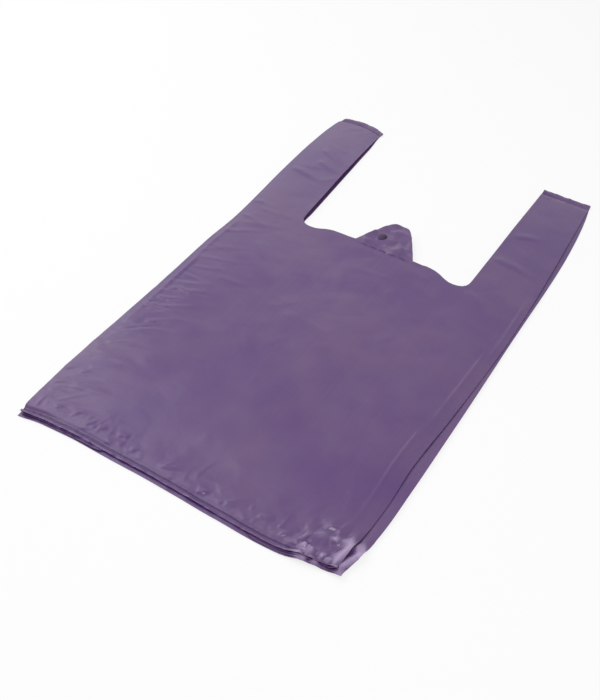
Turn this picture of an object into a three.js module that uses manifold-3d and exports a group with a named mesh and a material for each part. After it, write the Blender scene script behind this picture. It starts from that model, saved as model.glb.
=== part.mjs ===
// A plastic carrier bag of the vest kind, lying flat on its back panel.
// One tube of blown film is folded in at both sides, welded across the bottom and across the handle tops,
// and die-cut to leave two handles, the mouth between them and a tab with a hole for hanging.
// Millimetres. +Z is up, +Y runs from the bottom weld to the handles, and the origin is on the
// resting face, in the middle of the bag's outline.

import * as THREE from "three";
import { mergeVertices } from "three/addons/utils/BufferGeometryUtils.js";
import Module from "manifold-3d";

// Film tube
const WIDTH = 280; // across the bag, with its sides folded in
const LENGTH = 530; // bottom edge to handle tops
const FILM = 0.025; // gauge of the film
const GUSSET_DEPTH = 75; // how far each side is folded in

// How the empty bag lies
const LOFT = 3; // height of the layers and of the air that they hold
const LOFT_RUN = 70; // distance from a weld at which the full height is reached
const LOFT_STEPS = 4; // facets along that distance
const WELD_AIR = 0.05; // air between two layers where they meet a weld
const FOLD_LAND = 0.3; // width of the pressed edge at each outer fold

// Welds
const WELD_WIDTH = 1.5;
const BOTTOM_SKIRT = 6; // loose film left below the bottom weld
const HANDLE_SKIRT = 6; // loose film left above the handle welds

// Handles and mouth
const HANDLE_LENGTH = 203; // handle top to the lowest point of the mouth
const HANDLE_TOP_WIDTH = 49;
const HANDLE_FOOT_WIDTH = 56;
const MOUTH_CORNER = 12; // radius where a handle meets the mouth
const MOUTH_RISE = 8; // how much the mouth rises towards the tab
const MOUTH_LAND = 17; // level stretch of the mouth on each side of the tab

// Hanging tab
const TAB_FOOT_WIDTH = 58;
const TAB_HEIGHT = 42;
const TAB_TOP_RADIUS = 13;
const HOLE_DIAMETER = 9;
const HOLE_ABOVE_FOOT = 15;
const HOLE_LEFT_OF_CENTRE = 9;
const TEAR_LINE_LENGTH = 46; // row of slits under the tab, where it tears off
const TEAR_SLIT_LENGTH = 7;
const TEAR_SLIT_WIDTH = 0.5;
const TEAR_BRIDGE = 2.5; // film left between two slits
const TEAR_BELOW_FOOT = 3;

// Modelling
const ARC_SEGMENTS = 8;
const CUT_OVERRUN = 1; // how far a cutter runs past the film

// Places that follow from the sizes
const SIDE = WIDTH / 2;
const END = LENGTH / 2;
const BOTTOM_WELD = -END + BOTTOM_SKIRT + WELD_WIDTH; // inner edge of the bottom weld
const HANDLE_WELD = END - HANDLE_SKIRT - WELD_WIDTH; // inner edge of the handle welds
const MOUTH_LOW = END - HANDLE_LENGTH;
const TAB_FOOT = MOUTH_LOW + MOUTH_RISE;
const WELD_HEIGHT = 4 * FILM + 3 * WELD_AIR;

const wasm = await Module();
wasm.setup();

// A closed geometry as a solid that can be joined and cut.
function toSolid(geometry) {
  const bare = geometry.clone();
  bare.deleteAttribute("normal");
  bare.deleteAttribute("uv");
  const merged = mergeVertices(bare, 1e-4);
  return new wasm.Manifold(
    new wasm.Mesh({
      numProp: 3,
      vertProperties: new Float32Array(merged.attributes.position.array),
      triVerts: new Uint32Array(merged.index.array),
    }),
  );
}

// A solid as a geometry with flat-shaded faces.
function toGeometry(solid) {
  const mesh = solid.getMesh();
  const geometry = new THREE.BufferGeometry();
  geometry.setAttribute("position", new THREE.BufferAttribute(mesh.vertProperties, 3));
  geometry.setIndex(new THREE.BufferAttribute(mesh.triVerts, 1));
  const faceted = geometry.toNonIndexed();
  faceted.computeVertexNormals();
  return faceted;
}

// Height of the bag's layers at a place along its length.
function heightAt(y) {
  const fromWeld = Math.min(y - BOTTOM_WELD, HANDLE_WELD - y);
  const share = THREE.MathUtils.clamp(fromWeld / LOFT_RUN, 0, 1);
  return WELD_HEIGHT + (LOFT - WELD_HEIGHT) * Math.sin((share * Math.PI) / 2);
}

// Places between the welds where the bag's height changes: LOFT_STEPS facets up from each weld.
function bodyPlaces() {
  const rise = [];
  for (let i = 0; i <= LOFT_STEPS; i++) rise.push((LOFT_RUN * i) / LOFT_STEPS);
  const fromBottom = rise.map((d) => BOTTOM_WELD + d);
  const toHandles = rise.map((d) => HANDLE_WELD - d).reverse();
  return [...fromBottom, ...toHandles];
}

// The stretches of the bag where its layers lie loose: both skirts, and all that is between the welds.
function looseStretches() {
  const bottomSkirt = [-END - CUT_OVERRUN, BOTTOM_WELD - WELD_WIDTH];
  const handleSkirt = [HANDLE_WELD + WELD_WIDTH, END + CUT_OVERRUN];
  return [bottomSkirt, bodyPlaces(), handleSkirt];
}

// A closed solid through equal cross-sections. Each section is a list of [x, z], counter-clockwise
// as seen from the bottom edge, and sectionAt gives it for the bag's height at each place along Y.
// A sloping face twists where the height changes, so it is always split from its outer edge to its
// inner one: then both faces of a film layer are split alike, and the layer keeps its gauge.
function loft(places, sectionAt) {
  const rings = places.map((y) => sectionAt(heightAt(y)).map(([x, z]) => [x, y, z]));
  const count = rings[0].length;
  const triangles = [];
  for (let i = 0; i + 1 < rings.length; i++) {
    for (let k = 0; k < count; k++) {
      const next = (k + 1) % count;
      const [a, b] = [rings[i][k], rings[i][next]];
      const [c, d] = [rings[i + 1][next], rings[i + 1][k]];
      if (Math.abs(a[0]) > Math.abs(b[0])) triangles.push(a, c, b, a, d, c);
      else triangles.push(a, d, b, b, d, c);
    }
  }
  const [near, far] = [rings[0], rings[rings.length - 1]];
  const flat = near.map(([x, , z]) => new THREE.Vector2(x, z));
  for (const [a, b, c] of THREE.ShapeUtils.triangulateShape(flat, [])) {
    triangles.push(near[a], near[b], near[c]);
    triangles.push(far[a], far[c], far[b]);
  }
  const geometry = new THREE.BufferGeometry();
  geometry.setAttribute("position", new THREE.Float32BufferAttribute(triangles.flat(), 3));
  return toSolid(geometry);
}

// Everything between the underside of the back panel and the top of the front panel.
function envelope() {
  const section = (h) => [
    [-SIDE, 0],
    [SIDE, 0],
    [SIDE, h],
    [-SIDE, h],
  ];
  return loft([-END, ...bodyPlaces(), END], section);
}

// The space between the panels, which runs round the inner fold of each gusset.
function inside(places) {
  const tip = SIDE - GUSSET_DEPTH;
  const edge = SIDE - FOLD_LAND;
  const half = (h) => [
    [edge, FILM],
    [tip, h / 2 - FILM],
    [tip - FILM, h / 2],
    [tip, h / 2 + FILM],
    [edge, h - FILM],
  ];
  const section = (h) => {
    const right = half(h);
    const left = right.map(([x, z]) => [-x, z]).reverse();
    return [...right, ...left];
  };
  return loft(places, section);
}

// The air between the two layers of a gusset, open to the side of the bag.
function gussetAir(places, side) {
  const section = (h) => {
    const wedge = [
      [SIDE - GUSSET_DEPTH, h / 2],
      [SIDE, 2 * FILM],
      [SIDE + CUT_OVERRUN, 2 * FILM],
      [SIDE + CUT_OVERRUN, h - 2 * FILM],
      [SIDE, h - 2 * FILM],
    ];
    return side > 0 ? wedge : wedge.map(([x, z]) => [-x, z]).reverse();
  };
  return loft(places, section);
}

// The die-cut outline, which goes through all the layers at once.
function outline() {
  const handleTop = SIDE - HANDLE_TOP_WIDTH;
  const handleFoot = SIDE - HANDLE_FOOT_WIDTH;
  const corner = handleFoot - MOUTH_CORNER;
  const tabFoot = TAB_FOOT_WIDTH / 2;
  const rise = tabFoot + MOUTH_LAND;
  const bend = (corner + rise) / 2;
  const crown = TAB_HEIGHT - TAB_TOP_RADIUS;
  const reach = Math.hypot(tabFoot, crown);
  const tangent = Math.acos(TAB_TOP_RADIUS / reach) - Math.atan2(crown, tabFoot);

  const shape = new THREE.Shape();
  shape.moveTo(-SIDE, -END);
  shape.lineTo(SIDE, -END);
  shape.lineTo(SIDE, END);
  shape.lineTo(handleTop, END);
  shape.lineTo(handleFoot, MOUTH_LOW + MOUTH_CORNER);
  shape.quadraticCurveTo(handleFoot, MOUTH_LOW, corner, MOUTH_LOW);
  shape.bezierCurveTo(bend, MOUTH_LOW, bend, TAB_FOOT, rise, TAB_FOOT);
  shape.lineTo(tabFoot, TAB_FOOT);
  shape.absarc(0, TAB_FOOT + crown, TAB_TOP_RADIUS, tangent, Math.PI - tangent, false);
  shape.lineTo(-tabFoot, TAB_FOOT);
  shape.lineTo(-rise, TAB_FOOT);
  shape.bezierCurveTo(-bend, TAB_FOOT, -bend, MOUTH_LOW, -corner, MOUTH_LOW);
  shape.quadraticCurveTo(-handleFoot, MOUTH_LOW, -handleFoot, MOUTH_LOW + MOUTH_CORNER);
  shape.lineTo(-handleTop, END);
  shape.lineTo(-SIDE, END);
  shape.closePath();

  const hole = new THREE.Path();
  const holeHeight = TAB_FOOT + HOLE_ABOVE_FOOT;
  hole.absarc(-HOLE_LEFT_OF_CENTRE, holeHeight, HOLE_DIAMETER / 2, 0, 2 * Math.PI, true);
  shape.holes.push(hole);

  const depth = LOFT + 2 * CUT_OVERRUN;
  const die = new THREE.ExtrudeGeometry(shape, { depth, bevelEnabled: false, curveSegments: ARC_SEGMENTS });
  return toSolid(die.translate(0, 0, -CUT_OVERRUN));
}

// The row of slits along which the tab tears off.
function tearSlits() {
  const pitch = TEAR_SLIT_LENGTH + TEAR_BRIDGE;
  const count = Math.floor((TEAR_LINE_LENGTH + TEAR_BRIDGE) / pitch);
  const slits = [];
  for (let i = 0; i < count; i++) {
    const slit = new THREE.BoxGeometry(TEAR_SLIT_LENGTH, TEAR_SLIT_WIDTH, LOFT + 2 * CUT_OVERRUN);
    slit.translate((i - (count - 1) / 2) * pitch, TAB_FOOT - TEAR_BELOW_FOOT, LOFT / 2);
    slits.push(toSolid(slit));
  }
  return slits;
}

function carrierBag() {
  let film = envelope();
  for (const places of looseStretches()) {
    film = film.subtract(inside(places));
    film = film.subtract(gussetAir(places, 1)).subtract(gussetAir(places, -1));
  }
  film = film.intersect(outline());
  for (const slit of tearSlits()) film = film.subtract(slit);
  const purpleFilm = new THREE.MeshStandardMaterial({ color: 0x765f8c, roughness: 0.4, metalness: 0 });
  const mesh = new THREE.Mesh(toGeometry(film), purpleFilm);
  mesh.name = "carrier_bag";
  return mesh;
}

const bag = new THREE.Group();
bag.add(carrierBag());

export default bag;
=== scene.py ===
# %% [markdown]
# # A plastic carrier bag, lying flat
#
# A vest carrier is a tube of thin blown film. The tube is folded in at both sides, welded across its
# bottom and its handle tops, and cut out with one die, which leaves two handles, the mouth between
# them and a tab to hang it by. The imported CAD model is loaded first: it fixes where the bag is, and
# everything made here keeps to its size.

import math
import random

import bpy
import numpy as np
from mathutils import Matrix, Vector, geometry, noise
from mathutils.bvhtree import BVHTree
from mathutils.kdtree import KDTree


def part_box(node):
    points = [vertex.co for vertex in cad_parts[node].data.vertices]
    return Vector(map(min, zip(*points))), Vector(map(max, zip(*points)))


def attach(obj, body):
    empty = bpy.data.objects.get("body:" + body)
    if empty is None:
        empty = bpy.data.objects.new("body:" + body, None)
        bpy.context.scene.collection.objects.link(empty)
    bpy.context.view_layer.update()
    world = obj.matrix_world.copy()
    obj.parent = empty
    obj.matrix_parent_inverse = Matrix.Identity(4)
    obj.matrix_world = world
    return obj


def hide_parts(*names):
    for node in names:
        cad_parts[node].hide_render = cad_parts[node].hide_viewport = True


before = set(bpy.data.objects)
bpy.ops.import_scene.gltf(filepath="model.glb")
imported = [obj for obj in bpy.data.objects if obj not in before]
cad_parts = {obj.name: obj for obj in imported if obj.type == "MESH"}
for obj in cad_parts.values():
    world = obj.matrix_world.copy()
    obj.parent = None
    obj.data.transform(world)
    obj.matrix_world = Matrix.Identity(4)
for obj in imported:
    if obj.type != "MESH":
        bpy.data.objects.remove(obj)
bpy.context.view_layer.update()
scene = bpy.context.scene

# %% [markdown]
# ## Camera
#
# The view is from the front right, about 42 degrees down, with the horizon tipped a little. Five
# numbers and the point in the middle of the picture give the whole camera, so they are written as
# such and the camera's matrix is put together from its three axes.

# %% Camera
PICTURE_HEIGHT = 700  # pixels, the longer side
FOCAL_PIXELS = 1005.3
PITCH = math.radians(42.2)
TURN = math.radians(23.67)
ROLL = math.radians(7.59)
DISTANCE = 0.8072
AIM = Vector((0.0013, -0.0915, 0.0025))

ahead = Vector((-math.sin(TURN), math.cos(TURN), 0))
rightward = Vector((math.cos(TURN), math.sin(TURN), 0))
sight = ahead * math.cos(PITCH) - Vector((0, 0, math.sin(PITCH)))
upward = rightward.cross(sight)
camera_data = bpy.data.cameras.new("camera")
camera_data.sensor_width = 36
camera_data.lens = camera_data.sensor_width * FOCAL_PIXELS / PICTURE_HEIGHT
camera = bpy.data.objects.new("camera", camera_data)
scene.collection.objects.link(camera)
axes = Matrix((rightward, upward, -sight)).transposed().to_4x4()
camera.matrix_world = Matrix.Translation(AIM - sight * DISTANCE) @ axes @ Matrix.Rotation(ROLL, 4, "Z")
scene.camera = camera
scene.view_settings.view_transform = "Standard"
print("camera at", [round(v, 3) for v in camera.location], "lens", round(camera_data.lens, 1))

# %% [markdown]
# ## Shader maths in Python
#
# A node tree is easier to read as arithmetic. `Wire` holds one output of a tree; adding or
# multiplying wires adds Math nodes, and `node` adds any other node, settings first and then what
# goes into its sockets.

# %% Shader maths
class Wire:
    """An output socket on which Python's arithmetic can be done."""

    def __init__(self, tree, socket):
        self.tree = tree
        self.socket = socket

    def node(self, kind, settings=None, out=0, **values):
        """Adds a node. A value is a number, a colour or a wire, under its socket's name or place."""
        made = self.tree.nodes.new(kind)
        for name, value in (settings or {}).items():
            setattr(made, name, value)
        for name, value in values.items():
            key = int(name[1:]) if name[0] == "i" and name[1:].isdigit() else name.replace("_", " ")
            self.plug(made.inputs[key], value)
        return Wire(self.tree, made.outputs[out])

    def plug(self, socket, value):
        """Links a wire to a socket, or sets the socket to a number or a colour."""
        if isinstance(value, Wire):
            self.tree.links.new(value.socket, socket)
        else:
            socket.default_value = value

    def math(self, operation, *values):
        """A Math node on numbers and wires."""
        values = {f"i{k}": value for k, value in enumerate(values)}
        return self.node("ShaderNodeMath", {"operation": operation}, **values)

    def __add__(self, other):
        return self.math("ADD", self, other)

    def __sub__(self, other):
        return self.math("SUBTRACT", self, other)

    def __mul__(self, other):
        return self.math("MULTIPLY", self, other)

    def __rsub__(self, other):
        return self.math("SUBTRACT", other, self)

    __radd__ = __add__
    __rmul__ = __mul__

    def __abs__(self):
        return self.math("ABSOLUTE", self)

    def ramp(self, low, high):
        """0 below low, 1 above high, smooth between, and the other way round if low is higher."""
        settings = {"interpolation_type": "SMOOTHSTEP", "clamp": True}
        if low < high:
            return self.node("ShaderNodeMapRange", settings, Value=self, From_Min=low, From_Max=high)
        return 1 - self.ramp(high, low)

    def tint(self, first, second):
        """The first colour where the wire is 0, the second where it is 1."""
        return self.node("ShaderNodeMix", {"data_type": "RGBA"}, out=2, i0=self, i6=first, i7=second)


def new_material(name):
    """A material with its shader, and a wire to start a node tree from."""
    material = bpy.data.materials.new(name)
    material.use_nodes = True
    tree = material.node_tree
    return material, tree.nodes["Principled BSDF"], Wire(tree, None)


# %% [markdown]
# ## Floor
#
# The bag lies on a plain white floor. A floor that is only lit comes out grey, and more light on it would
# be more light on the bag too. So most of what the camera sees of it is white light of its own, mixed in
# by the Light Path node, and the rest is an ordinary surface that takes the bag's shadow. Gloss and
# glass are shown the same white as the camera.

# %% Floor
FLOOR_SIZE = 8
FLOOR_DROP = 0.0003  # below the resting face
FLOOR_OWN_LIGHT = 0.78  # share of its white that the floor gives itself
FLOOR_WHITE = (0.93, 0.93, 0.93, 1)
WHITE = (1, 1, 1, 1)


def background_seen(wire):
    """1 for a ray that shows the background: straight from the camera, or by way of gloss or glass."""
    seen = wire.node("ShaderNodeLightPath", out="Is Camera Ray")
    for ray in ("Is Glossy Ray", "Is Transmission Ray"):
        seen = wire.math("MAXIMUM", seen, wire.node("ShaderNodeLightPath", out=ray))
    return seen


bpy.ops.object.select_all(action="DESELECT")
bpy.ops.mesh.primitive_plane_add(size=FLOOR_SIZE, location=(0, 0, -FLOOR_DROP))
floor = bpy.context.object
floor.name = "floor"
floor_material, floor_shader, floor_wire = new_material("floor_white")
floor_shader.inputs["Base Color"].default_value = FLOOR_WHITE
floor_shader.inputs["Roughness"].default_value = 0.9
floor_shader.inputs["Specular IOR Level"].default_value = 0.0
seen = background_seen(floor_wire) * FLOOR_OWN_LIGHT
glow = floor_wire.node("ShaderNodeEmission", Color=WHITE, Strength=1.0)
lit = Wire(floor_wire.tree, floor_shader.outputs[0])
mixed = floor_wire.node("ShaderNodeMixShader", i0=seen, i1=lit, i2=glow)
floor_wire.plug(floor_wire.tree.nodes["Material Output"].inputs["Surface"], mixed)
floor.data.materials.append(floor_material)
print("floor at", round(floor.location.z, 4))

# %% [markdown]
# ## Light
#
# Satin film shows its creases by the lamps that it mirrors, so the lamps are chosen for the film. A wide
# softbox on the left brightens that side of the bag, a weak one further back reaches the handle, and a
# small one in front catches only the facets that lean towards the camera. An even white surround fills
# in the rest.

# %% Light
SURROUND = 0.46  # strength of the surround as a light, which is white where it is seen
SOFTBOXES = {
    "left": (Vector((-0.9, 0.05, 1.05)), (1.2, 1.2), 8.8),
    "behind_left": (Vector((-1.0, 1.1, 0.75)), (1.2, 0.6), 1.6),
    "front": (Vector((0.35, -0.55, 1.35)), (0.3, 0.3), 5.5),
}

world = bpy.data.worlds.new("surround")
scene.world = world
world.use_nodes = True
world_wire = Wire(world.node_tree, None)
level = background_seen(world_wire) * (1 - SURROUND) + SURROUND
background = world.node_tree.nodes["Background"]
background.inputs["Color"].default_value = WHITE
world_wire.plug(background.inputs["Strength"], level)

for name, (place, (width, height), watts) in SOFTBOXES.items():
    softbox_data = bpy.data.lights.new(name, "AREA")
    softbox_data.shape = "RECTANGLE"
    softbox_data.size = width
    softbox_data.size_y = height
    softbox_data.energy = watts
    softbox = bpy.data.objects.new(name, softbox_data)
    scene.collection.objects.link(softbox)
    softbox.location = place
    softbox.rotation_euler = (AIM - place).to_track_quat("-Z", "Y").to_euler()
    print(name, "softbox", round((AIM - place).length, 2), "m away")

# %% [markdown]
# ## The die-cut outline
#
# One die cuts all the layers of the pressed tube at once, so one outline serves the front, the back and
# the gussets. It is drawn in millimetres, half of it, from a handle's top down to the mouth and up over
# the tab, and mirrored. Straight runs are cut into short steps, because a sheet only folds where it has
# points. Layers that are hidden make do with every second row.

# %% Die-cut outline
_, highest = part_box("carrier_bag")
SIDE = 1000 * highest[0]
END = 1000 * highest[1]
GUSSET_DEPTH = 75
GUSSET_EDGE = SIDE - GUSSET_DEPTH  # the inner fold of a gusset
COLUMN_COUNT = 57
ROW_COUNT = 116
COLUMN = 2 * SIDE / COLUMN_COUNT
WELD_ROWS = (0, 3, 6, 7.5, 10)  # from the cut edge inwards
HANDLE_LENGTH = 203
HANDLE_FOOT = 84  # from the middle of the bag to a handle's inner edge, at its foot
HANDLE_TAPER = 7  # by which a handle is narrower at its top
MOUTH_CORNER = 12  # radius where a handle meets the mouth
MOUTH_RISE = 8
MOUTH_LAND = 17  # level stretch of the mouth beside the tab
MOUTH_LOW = END - HANDLE_LENGTH
TAB_HALF = 29
TAB_HEIGHT = 42
TAB_RADIUS = 13
TAB_FOOT = MOUTH_LOW + MOUTH_RISE
TAB_TOP = TAB_FOOT + TAB_HEIGHT
HOLE_PLACE = (-9.0, TAB_FOOT + 15)
HOLE_RADIUS = 4.5

span = 2 * (END - WELD_ROWS[-1])
bottom_rows = [-END + d for d in WELD_ROWS]
top_rows = [END - d for d in reversed(WELD_ROWS)]
between = [bottom_rows[-1] + span * k / ROW_COUNT for k in range(1, ROW_COUNT)]
rows = bottom_rows + between + top_rows
coarse_rows = bottom_rows + between[1::2] + top_rows


def steps(a, b, length=4.0):
    """Points from a to b, without b, about so far apart."""
    count = max(1, round(math.dist(a, b) / length))
    return [tuple(a[i] + (b[i] - a[i]) * k / count for i in (0, 1)) for k in range(count)]


def bend(points, count):
    """Points of the Bezier curve that has these control points, without its end."""
    found = []
    for k in range(count):
        left = [Vector(p) for p in points]
        while len(left) > 1:
            left = [a.lerp(b, k / count) for a, b in zip(left, left[1:])]
        found.append(tuple(left[0]))
    return found


def handle_edge(y):
    """The inner edge of the right handle, which is straight from its foot to its top."""
    return HANDLE_FOOT + HANDLE_TAPER * (y - MOUTH_LOW - MOUTH_CORNER) / (END - MOUTH_LOW - MOUTH_CORNER)


def mouth_half():
    """The right half of the mouth, from the handle's top to the tab's."""
    corner_top = MOUTH_LOW + MOUTH_CORNER
    corner_end = HANDLE_FOOT - MOUTH_CORNER
    land_end = TAB_HALF + MOUTH_LAND
    middle = (corner_end + land_end) / 2
    points = [(handle_edge(y), y) for y in reversed(rows) if y > corner_top + 2]
    points += bend([(HANDLE_FOOT, corner_top), (HANDLE_FOOT, MOUTH_LOW), (corner_end, MOUTH_LOW)], 5)
    up_to_land = [(corner_end, MOUTH_LOW), (middle, MOUTH_LOW), (middle, TAB_FOOT), (land_end, TAB_FOOT)]
    points += bend(up_to_land, 7)
    points += steps((land_end, TAB_FOOT), (TAB_HALF, TAB_FOOT))
    crown = TAB_TOP - TAB_RADIUS
    crown_rise = TAB_HEIGHT - TAB_RADIUS
    start = math.acos(TAB_RADIUS / math.hypot(TAB_HALF, crown_rise)) - math.atan2(crown_rise, TAB_HALF)
    turns = np.linspace(start, math.pi / 2, 5)
    top = [(TAB_RADIUS * math.cos(t), crown + TAB_RADIUS * math.sin(t)) for t in turns]
    return points + steps((TAB_HALF, TAB_FOOT), top[0]) + top


def mirrored(points):
    """The same points on the other half of the bag."""
    return [(-x, y) for x, y in points]


right_mouth = mouth_half()
mouth = right_mouth + mirrored(reversed(right_mouth[:-1]))
print("mouth drawn with", len(mouth), "points, lowest at", round(min(y for x, y in mouth), 1))

# %% [markdown]
# ## Triangles for a layer of film
#
# A sheet that is to crease in any direction needs points that favour none. A grid of squares would crease
# along its own lines, so the layers are filled with staggered rows, and Blender's constrained Delaunay
# triangulation joins them up along the outline. The punched hole and the row of tear slits under the tab
# are left open in it. The lower right corner of this bag is crumpled through all its layers, and each of
# them gets closer points there.

# %% Fill a layer
HOLE_STEPS = 16
SLIT_LENGTH = 7
SLIT_WIDTH = 0.4
SLIT_PITCH = 9.5
SLIT_COUNT = 5
SLIT_BELOW_FOOT = 3
KEEP_OFF = 0.42  # from an outline, as a share of the distance between columns
WELD_KEEP_OFF = 0.9  # the same in millimetres, where the points are closer
JOIN_WITHIN = 1e-5  # distance at which two points are one
CORNER_STEP = 2.6  # distance between points in the crumpled corner
CORNER_X, CORNER_Y = 82, -END + 52  # where the crumpled corner begins


def cut_outs():
    """The hole and the tear slits, each as a ring of points."""
    x, y = HOLE_PLACE
    turns = [2 * math.pi * k / HOLE_STEPS for k in range(HOLE_STEPS)]
    rings = [[(x + HOLE_RADIUS * math.cos(t), y + HOLE_RADIUS * math.sin(t)) for t in turns]]
    half = SLIT_LENGTH / 2
    low = TAB_FOOT - SLIT_BELOW_FOOT - SLIT_WIDTH / 2
    high = TAB_FOOT - SLIT_BELOW_FOOT + SLIT_WIDTH / 2
    for k in range(SLIT_COUNT):
        x = (k - (SLIT_COUNT - 1) / 2) * SLIT_PITCH
        lower_side = [(x - half, low), (x, low), (x + half, low)]
        rings.append(lower_side + [(x + half, high), (x, high), (x - half, high)])
    return rings


def inside(points, ring):
    """Which points a ring of points encloses."""
    points, ring = np.asarray(points), np.asarray(ring)
    found = np.zeros(len(points), bool)
    for (ax, ay), (bx, by) in zip(ring, np.roll(ring, -1, 0)):
        if ay != by:
            crossed = (ay > points[:, 1]) != (by > points[:, 1])
            found ^= crossed & (points[:, 0] < ax + (bx - ax) * (points[:, 1] - ay) / (by - ay))
    return found


def gap_to(points, ring):
    """How far each point is from a ring's line."""
    points, ring = np.asarray(points), np.asarray(ring)
    nearest = np.full(len(points), 1e9)
    for a, b in zip(ring, np.roll(ring, -1, 0)):
        along = np.clip((points - a) @ (b - a) / max((b - a) @ (b - a), 1e-9), 0, 1)
        nearest = np.minimum(nearest, np.linalg.norm(points - a - along[:, None] * (b - a), axis=1))
    return nearest


def staggered(row_places, low, high, step):
    """Points in rows, every second row half a step along."""
    found = []
    for k, y in enumerate(row_places):
        found += [(x + (k % 2) * step / 2, y) for x in np.arange(low, high + 0.1, step)]
    return np.array(found)


def fill(ring, holes=(), pitch=1, crumpled=False):
    """A layer's points and counter-clockwise triangles inside a ring, without its holes."""
    grid = staggered((rows if pitch == 1 else coarse_rows)[1:-1], -SIDE, SIDE, pitch * COLUMN)
    keep_off = np.where(np.abs(grid[:, 1]) > END - WELD_ROWS[-1], WELD_KEEP_OFF, KEEP_OFF * COLUMN)
    if crumpled:
        close_rows = np.arange(-END + CORNER_STEP, CORNER_Y, CORNER_STEP)
        close = staggered(close_rows, CORNER_X, SIDE, CORNER_STEP)
        kept = (grid[:, 0] < CORNER_X - 1) | (grid[:, 1] > CORNER_Y + 1)
        grid = np.concatenate([grid[kept], close])
        keep_off = np.concatenate([keep_off[kept], np.full(len(close), WELD_KEEP_OFF)])
    kept = inside(grid, ring)
    for line in [ring, *holes]:
        kept &= gap_to(grid, line) > keep_off
    points = [Vector(p) for p in ring]
    edges = [(k, (k + 1) % len(ring)) for k in range(len(ring))]
    for hole in holes:
        first = len(points)
        points += [Vector(p) for p in hole]
        edges += [(first + k, first + (k + 1) % len(hole)) for k in range(len(hole))]
    points += [Vector(p) for p in grid[kept]]
    found, _, faces, _, _, _ = geometry.delaunay_2d_cdt(points, edges, [], 0, JOIN_WITHIN)
    found = np.array([tuple(p) for p in found])
    faces = np.array(faces)
    middles = found[faces].mean(axis=1)
    kept = inside(middles, ring)
    for hole in holes:
        kept &= ~inside(middles, hole)
    faces = faces[kept]
    a, b, c = (found[faces[:, k]] for k in range(3))
    back_to_front = (b - a)[:, 0] * (c - a)[:, 1] - (b - a)[:, 1] * (c - a)[:, 0] < 0
    faces[back_to_front] = faces[back_to_front][:, ::-1]
    used, faces = np.unique(faces, return_inverse=True)
    return found[used], faces.reshape(-1, 3)


def panel_ring(right_rows, left_rows):
    """The outline of a whole panel, with its points in rows along both side folds."""
    ring = steps((-SIDE, -END), (SIDE, -END), COLUMN)
    ring += [(SIDE, y) for y in right_rows[:-1]]
    ring += steps((SIDE, END), mouth[0], COLUMN) + mouth
    ring += steps((-mouth[0][0], END), (-SIDE, END), COLUMN)[1:]
    return ring + [(-SIDE, y) for y in reversed(left_rows[1:])]


close_halves = [(a + b) / 2 for a, b in zip(rows, rows[1:]) if b < CORNER_Y]
back_right_rows = sorted(rows + close_halves)
panel_flat, panel_faces = fill(panel_ring(rows, rows), cut_outs())
back_flat, back_faces = fill(panel_ring(back_right_rows, coarse_rows), cut_outs(), 2, True)
print("front:", len(panel_faces), "triangles, back:", len(back_faces))

# %% [markdown]
# ## How this bag lies
#
# A bag that has been handled no longer has the die's outline. Its lower right corner is drawn in, further
# on the front than on the back, its left edge wanders, and its left handle ends in a curve. A lattice or
# a proportional edit could do that by hand. Here `lie` moves any place on the flat outline to where it is
# on this bag, so that every layer follows the same curves, and `loft` says how much air is between the
# panels: none at a weld and about 3 mm further in.

# %% Lie of the bag
LOFT = 3.4
LOFT_RUN = 95
PRESSED = 0.34  # four layers at a weld
WELD_FROM_EDGE = 6.75  # middle of a weld
BOTTOM_WELD = -END + WELD_FROM_EDGE
HANDLE_WELD = END - WELD_FROM_EDGE
WELD_WAVE = 0.7  # by which the bottom weld wanders
MOUTH_WAVE = 1.9  # by which the cut edge of the mouth wanders
SKIRT_REACH = {"front": 0.62, "upper": 0.8, "lower": 0.95, "back": 1.1}  # of its length, once crinkled
# How far each edge is moved sideways at places along the bag, and the weld lengthways at places across it
LEFT_EDGE = (
    (-265, 4.5), (-251, 3.0), (-225, 1.4), (-172, 1.7), (-116, 3.1), (-57, 2.3), (-15, 1.7),
    (33, 3.2), (80, 1.6), (132, -0.8), (187, -2.4), (235, -2.0), (250, -0.8), (258, 0.8), (265, 3.0),
)
RIGHT_EDGE = {
    "front": (
        (-265, -17), (-250, -16), (-224, -13), (-195, -11), (-161, -11), (-98, -6), (-10, 0), (265, 0),
    ),
    "back": (
        (-265, -12), (-245, -7.5), (-217, -4), (-176, -2), (-115, 0), (-10, 2.5), (240, 2.5), (265, 0),
    ),
}
WELD_LINE = (
    (-140, -3.5), (-124, -1.2), (-100, 0), (-50, -1), (15, -3.7), (60, -6), (98, -5.5), (140, -1),
)


def ramp(low, high, value):
    """0 at low and 1 at high, smooth between."""
    share = np.clip((value - low) / (high - low), 0, 1)
    return share * share * (3 - 2 * share)


def clouds(x, y, size, seed):
    """Soft noise from -1 to 1, with lumps of about one size."""
    places = zip(np.asarray(x) / size, np.asarray(y) / size)
    return np.array([noise.noise(Vector((a, b, seed))) for a, b in places])


def through(knots, at):
    """A smooth curve through (place, value) knots, level beyond the last ones."""
    places, values = np.array(knots, float).T
    slopes = np.gradient(values, places)
    slopes[[0, -1]] = 0
    spot = np.clip(at, places[0], places[-1])
    k = np.clip(np.searchsorted(places, spot) - 1, 0, len(places) - 2)
    run = places[k + 1] - places[k]
    s = (spot - places[k]) / run
    held = values[k] * (1 + 2 * s) * (1 - s) ** 2 + values[k + 1] * s * s * (3 - 2 * s)
    return held + run * s * (1 - s) * (slopes[k] * (1 - s) - slopes[k + 1] * s)


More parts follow.
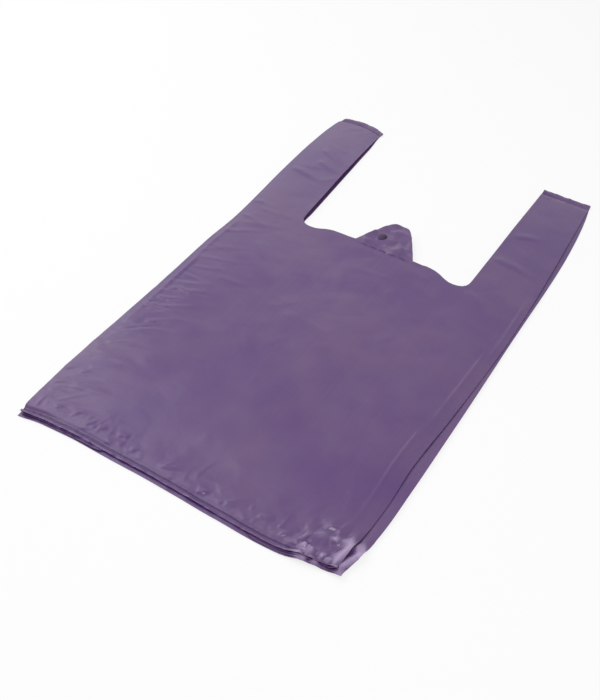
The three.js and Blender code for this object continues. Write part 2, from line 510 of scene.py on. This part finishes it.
def lie(x, y, layer="front"):
    """Where a place on the flat outline is in plan."""
    left = ramp(-60, -SIDE, x) * through(LEFT_EDGE, y)
    right = (ramp(-40, SIDE, x) + ramp(70, SIDE, x)) / 2 * through(RIGHT_EDGE[layer], y)
    curved_end = (3.2 - 6.5 * ((x + 119) / 26) ** 2) * ramp(228, 262, y) * (x < 0)
    bow = through(WELD_LINE, x) * ramp(-170, -255, y)
    wave = WELD_WAVE * clouds(x, 0 * x, 30, 3.5) * ramp(-225, -255, y)
    mouth_wave = MOUTH_WAVE * clouds(x, y, 11, 7.7) * ramp(MOUTH_LOW - 12, MOUTH_LOW, y)
    mouth_wave = mouth_wave * ramp(90, 70, np.abs(x))
    return x + left + right, y + curved_end + bow + wave + mouth_wave


def skirt_pull(layer, y):
    """How far a layer's crinkled skirt is drawn up towards the bottom weld."""
    return (1 - SKIRT_REACH[layer]) * np.maximum(BOTTOM_WELD - y, 0)


def from_weld(y):
    """How far a place is inwards from the nearer weld, which is less than 0 on a skirt."""
    return np.minimum(y - BOTTOM_WELD, HANDLE_WELD - y)


def loft(y):
    """Height of the bag's layers at a place along its length."""
    return PRESSED + (LOFT - PRESSED) * ramp(0, LOFT_RUN, np.abs(from_weld(y))) ** 0.7


def weld_lift(x, y):
    """How far a weld itself is off the floor, which all the layers share."""
    return np.exp(-((from_weld(y) / 11) ** 2)) * (0.6 + 0.5 * clouds(x, y * 0, 28, 9.1))


def support(x, y):
    """The height on which the front panel rests: full near the left side, lower further right."""
    inward = SIDE - np.abs(x)
    roll = np.where(x < 0, 0.72 + 0.28 * ramp(0, 8, inward), 0.42 + 0.58 * ramp(0, 34, inward))
    dip = 1 - 0.42 * ramp(20, 95, inward) * ramp(MOUTH_LOW + 40, MOUTH_LOW - 30, y)
    unevenness = 1 + 0.16 * clouds(x, y, 75, 5.2)
    return loft(y) * roll * dip * unevenness + weld_lift(x, y)


middle_height = support(np.array([0.0, 60.0, 130.0]), np.zeros(3))
print("front rests at", middle_height.round(2), "mm across the middle of the bag")

# %% [markdown]
# ## The front panel as cloth
#
# The front is the face that is seen, and its soft unevenness comes from film that has a little more length
# than the room it lies in. That is what a cloth simulation does well: the panel starts where it lies, its
# springs remember a slightly larger flat sheet, its folds and welds are held, and it settles over the
# layers below. It is simulated ten times larger, because Blender's collisions are made for objects of
# that size. The points are then read back, and the simulated object is removed.

# %% Settle the front panel
TRIAL_SCALE = 0.01  # from millimetres to the size that is simulated
TRIAL_FRAMES = 40
SPARE = 0.0012  # extra length of the film all over, as a share
WELD_SPARE = 0.010
EDGE_SPARE = 0.012
CORNER_SPARE = 0.1  # share of the corner's drawing-in that the film still has to lose
SOFTENING = 4
HELD = 0.8  # distance from a weld up to which the film is held
DROP = 0.5  # height from which the film settles
TOUCH = 0.004  # distance at which film and bed touch, in the simulation
BED_SIZE = (310, 560, 0)
FILM_CLOTH = {
    "quality": 6,
    "mass": 0.15,
    "tension_stiffness": 40,
    "compression_stiffness": 40,
    "shear_stiffness": 25,
    "bending_stiffness": 4,
    "tension_damping": 15,
    "compression_damping": 15,
    "shear_damping": 15,
    "bending_damping": 2,
    "air_damping": 3,
}


def flat_rest(x, y):
    """The sheet that the springs remember: spare film along the weld and the left edge."""
    across, along = lie(x, y)
    across = across + CORNER_SPARE * (x - across)
    at_weld = WELD_SPARE * ramp(-205, -257, y)
    at_edge = EDGE_SPARE * ramp(-85, -SIDE, x)
    return across * (1 + SPARE + at_weld), along * (1 + SPARE) + at_edge * np.clip(y, -250, -20)


def new_object(name, points, faces):
    """An object from points and faces, selected alone."""
    mesh = bpy.data.meshes.new(name)
    mesh.from_pydata([tuple(p) for p in points], [], [tuple(int(v) for v in f) for f in faces])
    made = bpy.data.objects.new(name, mesh)
    scene.collection.objects.link(made)
    bpy.ops.object.select_all(action="DESELECT")
    made.select_set(True)
    bpy.context.view_layer.objects.active = made
    return made


def resting_bed():
    """What is under the front panel, as a surface that the cloth can't go through."""
    bpy.ops.object.select_all(action="DESELECT")
    bpy.ops.mesh.primitive_grid_add(x_subdivisions=40, y_subdivisions=72, size=1)
    bed = bpy.context.object
    flat = np.array([v.co for v in bed.data.vertices]) * BED_SIZE
    flat[:, 2] = support(flat[:, 0], flat[:, 1]) - DROP
    bed.data.vertices.foreach_set("co", (flat * TRIAL_SCALE).ravel())
    bpy.ops.object.modifier_add(type="COLLISION")
    bed.collision.thickness_outer = TOUCH
    bed.collision.cloth_friction = 20
    return bed


def soften(points, faces, free):
    """Evens out heights that change from one point to the next, which film can't do."""
    ends = np.concatenate([faces[:, [0, 1]], faces[:, [1, 2]], faces[:, [2, 0]]])
    ends = np.concatenate([ends, ends[:, ::-1]])
    count = np.bincount(ends[:, 0], minlength=len(points))
    for _ in range(SOFTENING):
        around = np.bincount(ends[:, 0], points[ends[:, 1], 2], len(points)) / count
        points[free, 2] += 0.6 * (around - points[:, 2])[free]


def settle(flat, faces):
    """The front panel's points after the simulation, in millimetres."""
    x, y = flat.T
    rough = 0.3 * clouds(x, y, 30, 1.7)
    start = np.stack([*lie(x, y), support(x, y) + DROP + rough], 1)
    held = (np.abs(x) > SIDE - 0.1) | (from_weld(y) < HELD)
    start[held, 2] -= rough[held]
    start[:, 2] = np.where(from_weld(y) < HELD, PRESSED + weld_lift(x, y), start[:, 2])
    trial = new_object("film_trial", start * TRIAL_SCALE, faces)
    trial.shape_key_add(name="Basis")
    rest_shape = trial.shape_key_add(name="flat")
    rest = np.stack([*flat_rest(x, y), 0 * x], 1) * TRIAL_SCALE
    rest_shape.data.foreach_set("co", rest.ravel())
    trial.vertex_groups.new(name="held").add(np.flatnonzero(held).tolist(), 1, "REPLACE")
    bpy.ops.object.modifier_add(type="CLOTH")
    cloth = trial.modifiers[-1]
    for name, value in FILM_CLOTH.items():
        setattr(cloth.settings, name, value)
    cloth.settings.vertex_group_mass = "held"
    cloth.settings.rest_shape_key = rest_shape
    cloth.collision_settings.distance_min = TOUCH
    cloth.point_cache.frame_end = TRIAL_FRAMES
    bed = resting_bed()
    for number in range(1, TRIAL_FRAMES + 1):
        scene.frame_set(number)
    settled = trial.evaluated_get(bpy.context.evaluated_depsgraph_get())
    found = np.array([v.co for v in settled.data.vertices]) / TRIAL_SCALE
    scene.frame_set(1)
    soften(found, faces, ~held)
    for spent in (trial, bed):
        bpy.data.objects.remove(spent)
    return found


front_start = settle(panel_flat, panel_faces)
rise = front_start[:, 2]
print("front settled between", rise.min().round(2), "and", rise.max().round(2), "mm")

# %% [markdown]
# ## A finer front panel
#
# Thin film creases finely, so each triangle of the settled panel is cut in four, and once more where most
# of the creases are: along the bottom, in from the side folds, on the tab and at the handle ends. The flat
# place of every point goes along as a UV map and is read back from it, because all that follows is laid
# out on the flat film.

# %% Refine the front panel
def well_creased(x, y):
    """Where the film is cut finest."""
    bottom = y < -END + 38
    left = (x < -SIDE + 28) & (y < -30)
    folds = (x < -SIDE + 9) & (y < 120)
    right = (x > SIDE - 18) & (y < 90)
    tab = (np.abs(x) < 34) & (y > TAB_FOOT - 8)
    return bottom | left | folds | right | tab | (y > END - 10)


def plan_of_corners(mesh):
    """The flat place of each corner of each face."""
    plan = np.zeros(2 * len(mesh.loops), np.float32)
    mesh.uv_layers["plan"].uv.foreach_get("vector", plan)
    return plan.reshape(-1, 2)


def cut_in_four(trial, chosen):
    """Cuts chosen triangles in four, and their neighbours so that all still meet."""
    bpy.ops.object.mode_set(mode="EDIT")
    bpy.ops.mesh.select_mode(type="FACE")
    bpy.ops.mesh.select_all(action="DESELECT")
    bpy.ops.object.mode_set(mode="OBJECT")
    trial.data.polygons.foreach_set("select", chosen)
    bpy.ops.object.mode_set(mode="EDIT")
    bpy.ops.mesh.subdivide(number_cuts=1, smoothness=0.7, ngon=False)
    bpy.ops.mesh.select_all(action="SELECT")
    bpy.ops.mesh.quads_convert_to_tris()
    bpy.ops.object.mode_set(mode="OBJECT")


def refine(flat, points, faces):
    """Flat places, points and triangles of the panel, cut finer."""
    trial = new_object("front_trial", points, faces)
    mesh = trial.data
    plan = mesh.uv_layers.new(name="plan")
    corners = np.array([loop.vertex_index for loop in mesh.loops])
    plan.uv.foreach_set("vector", flat[corners].astype(np.float32).ravel())
    cut_in_four(trial, np.ones(len(mesh.polygons), bool))
    middles = plan_of_corners(mesh).reshape(-1, 3, 2).mean(axis=1)
    cut_in_four(trial, well_creased(*middles.T))
    corners = np.array([loop.vertex_index for loop in mesh.loops])
    fine_flat = np.zeros((len(mesh.vertices), 2))
    fine_flat[corners] = plan_of_corners(mesh)
    fine_points = np.array([v.co for v in mesh.vertices])
    fine_faces = np.array([p.vertices[:] for p in mesh.polygons])
    bpy.data.objects.remove(trial)
    return fine_flat, fine_points, fine_faces


front_flat, front_points, front_faces = refine(panel_flat, front_start, panel_faces)
print("front refined to", len(front_points), "points and", len(front_faces), "triangles")

# %% [markdown]
# ## Creases
#
# Handled film keeps two kinds of marks. A crease is a sharp ridge with two straight slopes, one steeper
# than the other, that runs out from where it begins and fades. Crumpled film is a landscape of flat facets
# with straight edges, which random peaks joined by triangles give. Sculpting would do for one bag, but a
# formula for each kind of mark can be drawn as often as it is needed, and with a seed it is the same each
# time. The crumpled corner goes through all the layers, so its landscape is made first.

# %% Crease tools
STEEP_SIDE = 1.8  # reach of a crease's slopes, in widths
GENTLE_SIDE = 4.0
PEAK_JITTER = 0.34  # how far a peak is off its place, as a share of the spacing
ROUND_IT = 70  # how far a landscape goes on past the bag
CORNER_HEIGHT = 4.6

draw = random.Random(41)
front_x, front_y = front_flat.T
crease_height = np.zeros(len(front_flat))


def crease(start, angle, length, width, height, bow=0.0):
    """Adds a ridge from a place on the flat film, in a direction in degrees, steeper on its right side."""
    turn = math.radians(angle)
    x, y = front_x - start[0], front_y - start[1]
    along = (x * math.cos(turn) + y * math.sin(turn)) / length
    aside = y * math.cos(turn) - x * math.sin(turn) - bow * length * along * (1 - along)
    fade = ramp(0, 0.15, along) * ramp(1, 0.3, along)
    reach = np.where(aside < 0, STEEP_SIDE * width, GENTLE_SIDE * width)
    crease_height[:] += height * fade * np.maximum(1 - np.abs(aside) / reach, 0)


def landscape(spacing):
    """Random peaks from 0 to 1 mm high all over the bag and round it, joined by flat facets."""
    peaks = []
    for y in np.arange(-END - ROUND_IT, END + ROUND_IT, spacing):
        for x in np.arange(-SIDE - ROUND_IT, SIDE + ROUND_IT, spacing):
            jitter = [draw.uniform(-PEAK_JITTER, PEAK_JITTER) * spacing for _ in range(2)]
            peaks.append((x + jitter[0], y + jitter[1], draw.uniform(0, 1)))
    places = [Vector(p[:2]) for p in peaks]
    _, _, faces, order, _, _ = geometry.delaunay_2d_cdt(places, [], [], 0, JOIN_WITHIN)
    return BVHTree.FromPolygons([peaks[o[0]] for o in order], faces)


def facets(ground, x, y):
    """Heights of a landscape at some places."""
    down = Vector((0, 0, -1))
    return np.array([ground.ray_cast(Vector((a, b, 9)), down)[0].z for a, b in zip(x, y)])


corner_ground = landscape(5.5)


def gather(x, y):
    """The crumpled corner at the lower right, which all the layers share."""
    mask = ramp(CORNER_X + 4, CORNER_X + 34, x) * ramp(CORNER_Y - 4, CORNER_Y - 34, y)
    return mask * CORNER_HEIGHT * facets(corner_ground, x, y)


print("corner crumpled up to", gather(front_x, front_y).max().round(2), "mm")

# %% [markdown]
# ## Where the creases are
#
# Most marks are where handling has put them. Puckers run in from the left fold, short folds and streaks
# rise from the bottom weld, faint creases are all over, long ones lie beside the side folds, and bends
# cross the handles. What is one of many is drawn at random between two limits, and what stands out alone
# is put in its place.

# %% Creases of this bag
LEFT_PUCKERS = 54
UPPER_PUCKERS = 14
WELD_FOLDS = 34
FAINT_CREASES = 60
WELD_STREAKS = (-104, -92, -80, -64, -48, -20, 13, 36, 62, 84)  # places across the bag
SIDE_CREASES = (  # place across the bag, upper end, lower end
    (-134.5, 40, -90), (-133, -30, -170), (134, 82, -60), (129, 0, -160), (126, -110, -240),
)
HANDLE_BENDS = (  # start, angle, length, height
    ((92, 162), 27, 34, 0.8),
    ((86, 118), -6, 52, 1.0),
    ((-125, 190), -32, 44, 0.9),
    ((-118, 166), -24, 32, 0.8),
    ((-136, 140), -12, 48, 0.7),
    ((84, 58), -28, 30, 0.5),
)

some = draw.uniform
for _ in range(LEFT_PUCKERS):
    start = (-SIDE + some(0, 20), some(-252, -80))
    crease(start, some(4, 46), some(10, 52), some(0.7, 1.3), some(0.2, 0.75), some(-0.2, 0.2))
for _ in range(UPPER_PUCKERS):
    start = (-SIDE + some(0, 10), some(-70, 90))
    crease(start, some(-10, 40), some(14, 60), some(1.0, 1.8), some(0.15, 0.42), some(-0.1, 0.1))
for _ in range(WELD_FOLDS):
    start = (some(-SIDE + 6, 100), BOTTOM_WELD + some(0.5, 14))
    crease(start, some(10, 100), some(6, 26), some(0.5, 1.1), some(0.15, 0.6), some(-0.2, 0.2))
for x in WELD_STREAKS:
    crease((x, -END + some(10, 19)), some(14, 42), some(8, 17), 1.1, some(0.8, 1.1), some(-0.25, 0.25))
for _ in range(FAINT_CREASES):
    start = (some(-SIDE, SIDE), some(-END + 15, END - 15))
    crease(start, some(0, 360), some(12, 55), some(1.4, 2.4), some(0.1, 0.32), some(-0.12, 0.12))
for x, high, low in SIDE_CREASES:
    crease((x, high), -90 + some(-0.7, 0.7), high - low, 0.9, some(0.5, 0.8), some(-0.01, 0.01))
for start, angle, length, height in HANDLE_BENDS:
    crease(start, angle, length, 2.0, height, 0.05)
print("creases up to", crease_height.max().round(2), "mm")

# %% [markdown]
# ## Facets
#
# Between its creases, handled film is not smooth but made of large flat facets that hardly differ, and
# smaller ones where it was pulled about: along the bottom weld and on the tab. On the left the facets are
# long and follow the puckers, so their landscape is stretched along them.

# %% Facets of the handled film
PUCKER_TURN = math.radians(24)  # the way that most folds run in from the left
PUCKER_STRETCH = 3.5
TAB_CRUMPLE = 2.0

at_left = ramp(-50, -SIDE, front_x) * ramp(0, -120, front_y)
at_weld = ramp(-205, -250, front_y)
on_tab = ramp(TAB_FOOT - 6, TAB_FOOT + 4, front_y) * ramp(40, 30, np.abs(front_x))
run = front_x * math.cos(PUCKER_TURN) + front_y * math.sin(PUCKER_TURN)
cross = front_y * math.cos(PUCKER_TURN) - front_x * math.sin(PUCKER_TURN)
crease_height += (0.5 + 0.4 * at_weld) * facets(landscape(26), front_x, front_y)
crease_height += (0.1 + 0.5 * at_weld) * facets(landscape(11), front_x, front_y)
crease_height += TAB_CRUMPLE * on_tab * facets(landscape(7), front_x, front_y)
crease_height += (0.1 + 0.7 * at_left) * facets(landscape(10), run / PUCKER_STRETCH, cross)
print("facets and creases up to", crease_height.max().round(2), "mm")

# %% [markdown]
# ## Skirts and tab
#
# A weld leaves a strip of loose film beyond it, the skirt, and its heat shrinks and crinkles that strip.
# The weld itself stays flat, so creases fade out before they reach it. The tab stands up a little from
# the layer below it.

# %% Crinkled skirts and the finished front
SKIRT_CRINKLE = 1.1
TAB_LIFT = 1.2
LOWEST_FRONT = 0.3  # room for the layers below

skirt = ramp(-1.5, -4.5, from_weld(front_y))
crinkle = facets(landscape(4.5), front_x, front_y)
near_weld = ramp(0.8, 4, np.abs(from_weld(front_y)))
tab_lift = TAB_LIFT * ramp(TAB_FOOT - 6, TAB_TOP, front_y) * ramp(48, 30, np.abs(front_x))
marks = crease_height * near_weld + SKIRT_CRINKLE * skirt * crinkle + tab_lift
front_points[:, 1] += skirt_pull("front", front_y)
front_points[:, 2] += marks + gather(front_x, front_y)
front_points[:, 2] = np.maximum(front_points[:, 2], LOWEST_FRONT)
print("front from", front_points[:, 2].min().round(2), "to", front_points[:, 2].max().round(2), "mm")

# %% [markdown]
# ## The gussets
#
# Each side of the tube is tucked in by 75 mm, so a gusset is two more layers between the panels. They
# meet at an inner fold, and each meets a panel at an outer one. Folding one large sheet up would be truer
# to the real bag, but layers that are filled one by one can each have the points that they need. The upper
# one takes those along its outer fold from the refined front, so that the two can share them. The lower
# one is seen only where it peeps out on the right.

# %% Fill the gussets
def on_line(flat, x):
    """Points of a layer that lie on one of its folds, by their place along it."""
    return {round(float(y), 2): k for k, (px, y) in enumerate(flat) if abs(px - x) < 0.01}


beyond = [p for p in right_mouth if p[0] > GUSSET_EDGE]
short_of = right_mouth[len(beyond)]
share_left = (beyond[-1][0] - GUSSET_EDGE) / (beyond[-1][0] - short_of[0])
FOLD_TOP = beyond[-1][1] + (short_of[1] - beyond[-1][1]) * share_left


def gusset_ring(outer_rows, inner_rows):
    """The outline of a gusset layer on the right side of the bag."""
    ring = steps((GUSSET_EDGE, -END), (SIDE, -END), COLUMN)
    ring += [(SIDE, y) for y in outer_rows[:-1]]
    ring += steps((SIDE, END), right_mouth[0], COLUMN) + beyond
    ring += [(GUSSET_EDGE, FOLD_TOP)]
    return ring + [(GUSSET_EDGE, y) for y in reversed(inner_rows) if -END < y < FOLD_TOP - 1.5]


gussets = {}
for side, low_rows, pitch in ((1, back_right_rows, 1), (-1, coarse_rows, 2)):
    front_rows = sorted(on_line(front_flat, side * SIDE))
    inner_rows = rows if side > 0 else coarse_rows
    gussets[side, "upper"] = fill(gusset_ring(front_rows, inner_rows), (), 1, side > 0)
    gussets[side, "lower"] = fill(gusset_ring(low_rows, inner_rows), (), pitch, side > 0)
print("gussets:", {f"{side} {name}": len(faces) for (side, name), (_, faces) in gussets.items()})

# %% [markdown]
# ## The layers below
#
# The other layers follow from the front. The back lies on the floor, and each gusset runs from the fold
# of the front down to its inner fold and out again to the fold of the back. The layers have slipped a
# little, so the back peeps out inside the left handle and on the right, and its tab is lower than the
# front's.

# %% Layers under the front
BACK_HEIGHT = 0.06
BACK_WAVE = 0.35
INNER_FOLD = 0.45  # height of a gusset's inner fold, as a share of the way up
UNDER_FRONT = 0.16  # room kept between the front and the layer below
NEARBY = 3.0  # distance within which the front's lowest point counts
HANDLE_SLIDE = 1.9  # how far the back peeps out inside the left handle
CURL = 1.4  # how far its right fold turns up
TAB_SLIDE = (-3.6, -4.2)  # of the back's tab under the front's

film_points = [tuple(p) for p in front_points]
film_flat = [tuple(p) for p in front_flat]
film_faces = [tuple(int(v) for v in f) for f in front_faces]


def back_place(x, y):
    """The points of the back panel."""
    across, along = lie(x, y, "back")
    tab = ramp(TAB_FOOT - 12, TAB_FOOT + 14, y) * ramp(52, 34, np.abs(x))
    handle = ramp(MOUTH_LOW - 10, MOUTH_LOW + 25, y) * ramp(HANDLE_WELD, HANDLE_WELD - 40, y)
    handle = handle * (x < -50)
    across = across + TAB_SLIDE[0] * tab + HANDLE_SLIDE * handle
    along = along + TAB_SLIDE[1] * tab + skirt_pull("back", y)
    wave = BACK_WAVE * (1 + clouds(x, y, 40, 6.3)) * ramp(4, 45, from_weld(y))
    curl = CURL * ramp(SIDE - 13, SIDE, x) * ramp(-250, -215, y) * ramp(150, 60, y)
    return np.stack([across, along, BACK_HEIGHT + weld_lift(x, y) + gather(x, y) + wave + curl], 1)


def gusset_place(side, name, x, y):
    """The points of a gusset layer, and how far each is from the inner fold to the outer one."""
    share = np.clip((np.abs(x) - GUSSET_EDGE) / (SIDE - GUSSET_EDGE), 0, 1)
    at_fold = 0 * x + side * SIDE
    shared_lift = weld_lift(x, y) + gather(x, y) - weld_lift(at_fold, y) - gather(at_fold, y)
    front_fold = np.interp(y, *fold_heights[side]) + shared_lift
    back_at = back_place(x, y)
    inner = back_at[:, 2] + INNER_FOLD * (front_fold - back_at[:, 2])
    across, along = lie(x, y)
    along = along + skirt_pull(name, y)
    if name == "upper":
        return np.stack([across, along, inner + (front_fold - inner) * share], 1), share
    across = across + (back_at[:, 0] - across) * share
    return np.stack([across, along, inner + (back_at[:, 2] - inner) * share], 1), share


def under_front(flat, points, share):
    """Keeps a layer's points below the front panel, apart from those on its fold."""
    for k in np.flatnonzero(share < 0.999):
        near = front_tree.find_range((*flat[k], 0), NEARBY)
        lowest_near = min((front_points[number, 2] for _, number, _ in near), default=9)
        points[k, 2] = min(points[k, 2], lowest_near - UNDER_FRONT)


def add_layer(flat, points, faces, shared, flip):
    """Adds a layer to the film. Shared points are those already there, by row number in the layer."""
    number = []
    for k, (place, point) in enumerate(zip(flat, points)):
        if k in shared:
            number.append(shared[k])
        else:
            number.append(len(film_points))
            film_points.append(tuple(point))
            film_flat.append(tuple(place))
    for face in faces:
        corners = [number[v] for v in face]
        film_faces.append(tuple(reversed(corners)) if flip else tuple(corners))
    return number


front_tree = KDTree(len(front_flat))
for number, place in enumerate(front_flat):
    front_tree.insert((*place, 0), number)
front_tree.balance()
print("layers to go under", len(film_faces), "triangles of the front")

# %% [markdown]
# ## One film all the way round
#
# Points on a fold are shared by the two layers that meet there, so the tube is one sheet and not four that
# touch. Faces look outwards from the tube: up on the front, down on the back, and into the gusset's air
# between. The tree of the front's points lets the upper layer of each gusset find what lies over it.

# %% Join the layers
back_number = add_layer(back_flat, back_place(*back_flat.T), back_faces, {}, True)
fold_heights = {}
for side in (1, -1):
    front_fold = on_line(front_flat, side * SIDE)
    fold_rows = sorted(front_fold)
    fold_heights[side] = (fold_rows, [front_points[front_fold[y], 2] for y in fold_rows])
    back_fold = {y: back_number[k] for y, k in on_line(back_flat, side * SIDE).items()}

    upper_flat, upper_faces = gussets[side, "upper"]
    upper_flat = upper_flat * (side, 1)
    upper_points, share = gusset_place(side, "upper", *upper_flat.T)
    under_front(upper_flat, upper_points, share)
    shared = {k: front_fold[y] for y, k in on_line(upper_flat, side * SIDE).items()}
    upper_number = add_layer(upper_flat, upper_points, upper_faces, shared, side > 0)
    inner_fold = {y: upper_number[k] for y, k in on_line(upper_flat, side * GUSSET_EDGE).items()}

    lower_flat, lower_faces = gussets[side, "lower"]
    lower_flat = lower_flat * (side, 1)
    lower_points, share = gusset_place(side, "lower", *lower_flat.T)
    shared = {k: back_fold[y] for y, k in on_line(lower_flat, side * SIDE).items()}
    shared.update({k: inner_fold[y] for y, k in on_line(lower_flat, side * GUSSET_EDGE).items()})
    add_layer(lower_flat, lower_points, lower_faces, shared, side < 0)

print("film:", len(film_points), "points,", len(film_faces), "triangles")

# %% [markdown]
# ## From sheet to film
#
# Real film is a fortieth of a millimetre thick. Twice that keeps the shell sound and its edges visible.
# Solidify gives the sheet its second face and closes every cut edge, and smooth shading does the rest.
# Two things go along for the finish: each point's flat place, as a UV map, and how high the crumpled corner
# stands there, as an attribute that places the pale painted highlight on that corner.

# %% Give the film its thickness
FILM = 0.05
METRES = 0.001  # in a millimetre
SHARP = math.radians(50)  # angle from which an edge stays sharp

bag = new_object("bag_film", np.array(film_points) * METRES, film_faces)
plan_map = bag.data.uv_layers.new(name="film_plan")
corners = np.array([loop.vertex_index for loop in bag.data.loops])
plan_map.uv.foreach_set("vector", (np.array(film_flat)[corners] * METRES).astype(np.float32).ravel())
# how high the crumpled corner stands, kept to place a pale painted highlight there
corner_crumple_highlight = bag.data.attributes.new("corner_crumple_highlight", "FLOAT", "POINT")
corner_crumple_highlight.data.foreach_set("value", (gather(*np.array(film_flat).T) / CORNER_HEIGHT).astype(np.float32))
bpy.ops.object.modifier_add(type="SOLIDIFY")
wall = bag.modifiers[-1]
wall.thickness = FILM * METRES
wall.offset = -1
bpy.ops.object.modifier_apply(modifier=wall.name)
bpy.ops.object.shade_smooth_by_angle(angle=SHARP)
triangles = sum(len(p.vertices) - 2 for p in bag.data.polygons)
print("bag_film:", triangles, "triangles, size", [round(v, 4) for v in bag.dimensions])

# %% [markdown]
# ## The finish of the film
#
# The film is muted purple with a satin face. Blown film is never quite even: its colour drifts in broad
# soft clouds and runs in faint lines along the tube. A weld is melted through, so it is darker and duller.
# The crumpled corner is tinted pale as a painted highlight, where its facets would catch the lamps. One
# shader does it all, with noise for what drifts, the UV map for the welds and the attribute for the painted
# highlight of the corner. The roughness is kept from going lower, because the render's denoiser makes
# specks where satin turns to gloss.

# %% Places on the film
film_material, film_shader, film_wire = new_material("purple_film")
object_place = film_wire.node("ShaderNodeTexCoord", out="Object")
flat_place = film_wire.node("ShaderNodeUVMap", {"uv_map": "film_plan"})
plan_x = film_wire.node("ShaderNodeSeparateXYZ", out="X", Vector=flat_place) * 1000
plan_y = film_wire.node("ShaderNodeSeparateXYZ", out="Y", Vector=flat_place) * 1000


def cloudy(scale, detail, place=object_place, **values):
    """Noise from 0 to 1, with lumps of about 1 / scale metres."""
    return film_wire.node("ShaderNodeTexNoise", Vector=place, Scale=scale, Detail=detail, **values)


print("welds at", round(END - WELD_FROM_EDGE, 2), "mm from the middle of the plan")

# %% Colour and gloss of the film
GREY_PURPLE = (0.092, 0.038, 0.163, 1)
WARM_PURPLE = (0.123, 0.063, 0.170, 1)
WELD_PURPLE = (0.034, 0.000, 0.074, 1)
# pale lavender painted on the crumpled corner as its highlight
PAINTED_CORNER_HIGHLIGHT = (0.50, 0.38, 0.60, 1)
SATIN = 0.29  # roughness of the film where it is glossiest
WELD_DULLER = 0.12

broad = cloudy(9.0, 3.0, Roughness=0.5)
middling = cloudy(38.0, 4.0, Roughness=0.6)
streak_place = film_wire.node("ShaderNodeMapping", Vector=flat_place, Scale=(420.0, 5.0, 1.0))
streaks = cloudy(1.0, 2.0, streak_place)
drift = (broad * 0.6 + middling * 0.28 + streaks * 0.12).ramp(0.33, 0.67)
film_colour = drift.tint(GREY_PURPLE, WARM_PURPLE)

wobble = cloudy(120.0, 2.0)
off_weld = abs(abs(plan_y) + (wobble - 0.5) * 0.8 - (END - WELD_FROM_EDGE))
weld_mask = off_weld.ramp(1.25, 0.75) * (1 - 0.6 * plan_x.ramp(104, 112))
weld_colour = weld_mask.tint(film_colour, WELD_PURPLE)
# the crumpled corner is tinted pale: a painted highlight
painted_highlight_share = film_wire.node("ShaderNodeAttribute", {"attribute_name": "corner_crumple_highlight"}, out="Fac").ramp(0.3, 0.95)
film_wire.plug(film_shader.inputs["Base Color"], (painted_highlight_share * 0.7).tint(weld_colour, PAINTED_CORNER_HIGHLIGHT))
roughness = SATIN + middling.ramp(0.25, 0.75) * 0.05 + weld_mask * WELD_DULLER
film_wire.plug(film_shader.inputs["Roughness"], roughness)
print("film between", GREY_PURPLE[:3], "and", WARM_PURPLE[:3])

# %% [markdown]
# ## Fine crinkles
#
# What is finer than the mesh is left to a Bump node: the grain of blown film, faint cells of crinkled film,
# and short fold lines near the welds. All creases that can be made out one by one are in the mesh already.

# %% Bump of the film
cells = film_wire.node(
    "ShaderNodeTexVoronoi", {"feature": "DISTANCE_TO_EDGE"}, Vector=object_place, Scale=55.0, Randomness=1.0
)
crinkles = cells.ramp(0.0, 0.22)
grain = cloudy(260.0, 3.0, Roughness=0.6)
near_edge = abs(plan_y).ramp(END - 40, END - 4)
fold_lines = abs(cloudy(30.0, 2.0, Distortion=0.6) - 0.5).ramp(0.05, 0.0)
relief = fold_lines * 0.2 * near_edge + crinkles * (0.07 + 0.3 * near_edge)
relief += grain * 0.10 + middling * 0.14 + streaks * 0.05
bumped = film_wire.node("ShaderNodeBump", Strength=0.35, Distance=0.0012, Height=relief)
film_wire.plug(film_shader.inputs["Normal"], bumped)
bag.data.materials.append(film_material)
print("film material has", len(film_wire.tree.nodes), "nodes")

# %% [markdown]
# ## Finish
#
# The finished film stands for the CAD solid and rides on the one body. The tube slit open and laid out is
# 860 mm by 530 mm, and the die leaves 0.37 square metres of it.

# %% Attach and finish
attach(bag, "root")
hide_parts("carrier_bag")
